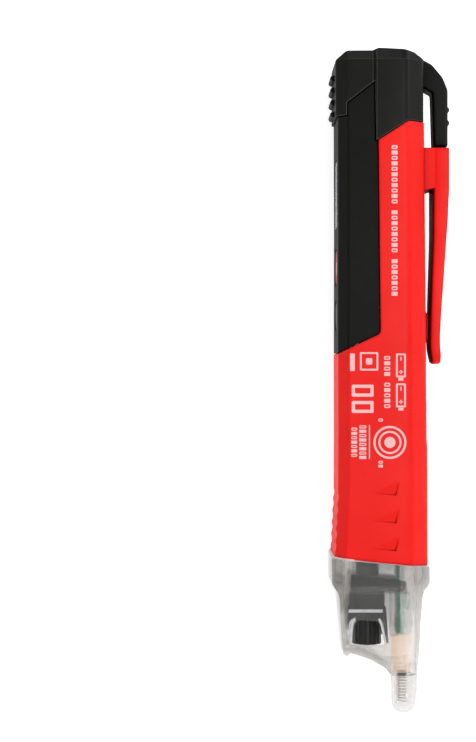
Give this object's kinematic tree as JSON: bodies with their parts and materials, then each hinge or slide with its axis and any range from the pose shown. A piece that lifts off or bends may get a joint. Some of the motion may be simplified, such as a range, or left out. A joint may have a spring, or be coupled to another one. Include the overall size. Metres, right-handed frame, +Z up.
{
  "type": "non contact voltage tester",
  "caption": "Pen-shaped non contact voltage tester with a clear sensing nose and torch, two front buttons, a level display, a pocket clip and a pull-off battery cap with a lanyard hook.",
  "frame": {"origin": "centre of the bounding box's underside: the middle of the pen's length and depth, on the surface that it lies on", "axes": "+Y along the pen towards the battery cap, +X towards the pocket clip, +Z up through the side that faces up"},
  "size_m": [0.0286, 0.158, 0.0235],
  "materials": {
    "red_shell": "fine satin moulded plastic",
    "black_cover": "smooth satin moulded plastic",
    "black_cap": "fine matt moulded plastic",
    "clear_nose": "clear moulded polycarbonate, slightly grey",
    "milky_tip": "frosted translucent plastic",
    "seal": "soft translucent silicone",
    "black_rubber": "matt rubber",
    "torch_black": "matt moulded plastic with flutes",
    "led_clear": "clear epoxy",
    "tinned_wire": "tinned",
    "reflector": "vacuum metallised",
    "milky_led": "milky diffusing epoxy",
    "gold_wire": "bright gold plate",
    "board_green": "solder mask over glass laminate",
    "chip_black": "moulded package",
    "component_tan": "ceramic chip parts",
    "buzzer_black": "matt",
    "steel": "zinc plated",
    "switch_body": "pressed metal cover",
    "button_red": "soft touch",
    "button_grey": "soft touch",
    "window_clear": "smoked clear plastic",
    "display_face": "dark display face with level bars",
    "cradle_black": "matt moulded plastic",
    "cell_jacket": "printed jacket",
    "nickel": "nickel plate"
  },
  "bodies": {
    "body": {"rear_housing": "red_shell", "front_cover": "black_cover", "nose_lens": "clear_nose", "sensor_tip": "milky_tip", "nose_seal": "seal", "torch_holder": "torch_black", "torch_led": "led_clear", "torch_leads": "tinned_wire", "torch_reflector": "reflector", "torch_lens": "led_clear", "alarm_led": "milky_led", "sensor_coil": "gold_wire", "sensor_board": "board_green", "main_board": "board_green", "controller_chip": "chip_black", "board_components": "component_tan", "header_pins": "gold_wire", "header_blocks": "chip_black", "buzzer": "buzzer_black", "board_screws": "steel", "tact_switches": "switch_body", "display_window": "window_clear", "display_module": "display_face", "battery_cradle": "cradle_black", "battery_front": "cell_jacket", "battery_rear": "cell_jacket", "front_contact": "nickel", "battery_strip": "nickel"},
    "cap": {"battery_cap": "black_cap", "cap_seal": "black_rubber", "cap_contact": "nickel", "cap_spring": "nickel"},
    "clip": {"clip_arm": "red_shell"},
    "power_key": {"power_button": "button_red", "power_plunger": "chip_black"},
    "torch_key": {"torch_button": "button_grey", "torch_plunger": "chip_black"}
  },
  "joints": [
    {"name": "cap_slide", "type": "slide", "parent": "body", "child": "cap", "axis": [0, 1, 0], "range_m": [0, 0.034]},
    {"name": "clip_flex", "type": "hinge", "parent": "body", "child": "clip", "pos_m": [0.01197, 0.0464, 0.01175], "axis": [0, 0, 1], "range_deg": [0, 4], "stiffness_Nm_per_rad": 0.6},
    {"name": "power_press", "type": "slide", "parent": "body", "child": "power_key", "axis": [1, 0, 0], "range_m": [0, 0.0004], "stiffness_N_per_m": 400},
    {"name": "torch_press", "type": "slide", "parent": "body", "child": "torch_key", "axis": [1, 0, 0], "range_m": [0, 0.0004], "stiffness_N_per_m": 400}
  ]
}
